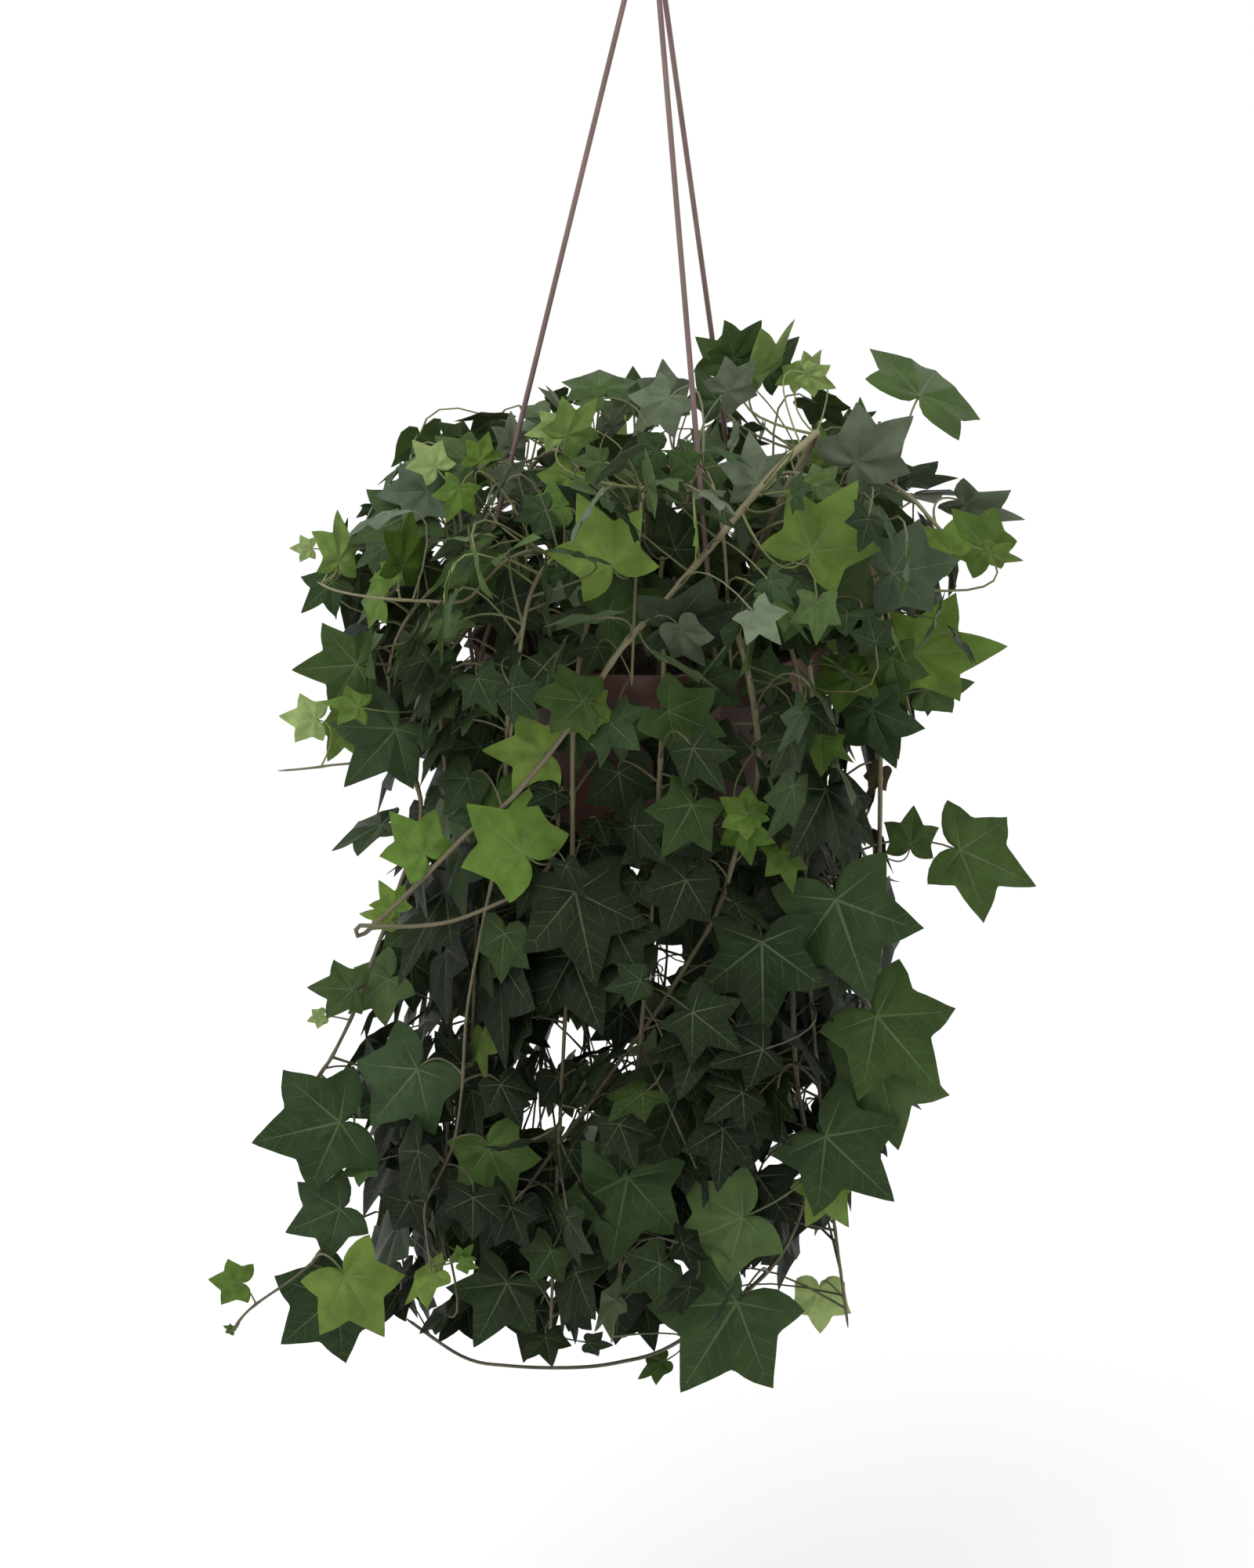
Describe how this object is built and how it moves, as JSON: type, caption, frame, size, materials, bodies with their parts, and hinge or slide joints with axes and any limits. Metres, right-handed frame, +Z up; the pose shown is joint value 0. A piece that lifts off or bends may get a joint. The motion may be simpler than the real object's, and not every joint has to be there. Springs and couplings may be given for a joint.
{
  "type": "hanging potted ivy",
  "caption": "Trailing English ivy in a tapered hanging pot, held by three strands on a hub with a hook; leafy stems climb over the rim and hang past the pot.",
  "frame": {"origin": "inner top of the hook, where it bears on the rod, rail or ceiling hook that it hangs from", "axes": "+Z up, -Y towards the viewer of the picture, +X to the viewer's right"},
  "size_m": [0.4763, 0.3604, 0.8487],
  "materials": {
    "ivy": "living ivy: waxy dark green leaves with pale veins, younger ones yellow green, on tan green stems",
    "pot": "terracotta brown moulded plastic, satin",
    "soil": "dark peat and bark potting mix with pale specks",
    "hanger": "brown moulded plastic, satin"
  },
  "bodies": {
    "root": {"stem_long_diagonal": "ivy", "stem_second_diagonal": "ivy", "stem_bottom_loop": "ivy", "stem_left_trailer": "ivy", "stem_right_plumb": "ivy", "stem_left_arm": "ivy", "stem_right_arm": "ivy", "stem_young_shoot": "ivy", "stem_left_twig": "ivy", "stem_crown_1": "ivy", "stem_crown_2": "ivy", "stem_crown_3": "ivy", "stem_crown_4": "ivy", "stem_crown_5": "ivy", "stem_crown_6": "ivy", "stem_crown_7": "ivy", "stem_crown_8": "ivy", "stem_crown_9": "ivy", "stem_crown_10": "ivy", "stem_crown_11": "ivy", "stem_crown_12": "ivy", "stem_crown_13": "ivy", "stem_trailer_1": "ivy", "stem_trailer_2": "ivy", "stem_trailer_3": "ivy", "stem_trailer_4": "ivy", "stem_trailer_5": "ivy", "stem_trailer_6": "ivy", "stem_trailer_7": "ivy", "stem_trailer_8": "ivy", "stem_trailer_9": "ivy", "stem_trailer_10": "ivy", "stem_trailer_11": "ivy", "stem_trailer_12": "ivy", "pot": "pot", "soil": "soil", "hook": "hanger", "hanger_strand_left": "hanger", "hanger_strand_front_right": "hanger", "hanger_strand_back_right": "hanger"}
  },
  "joints": []
}
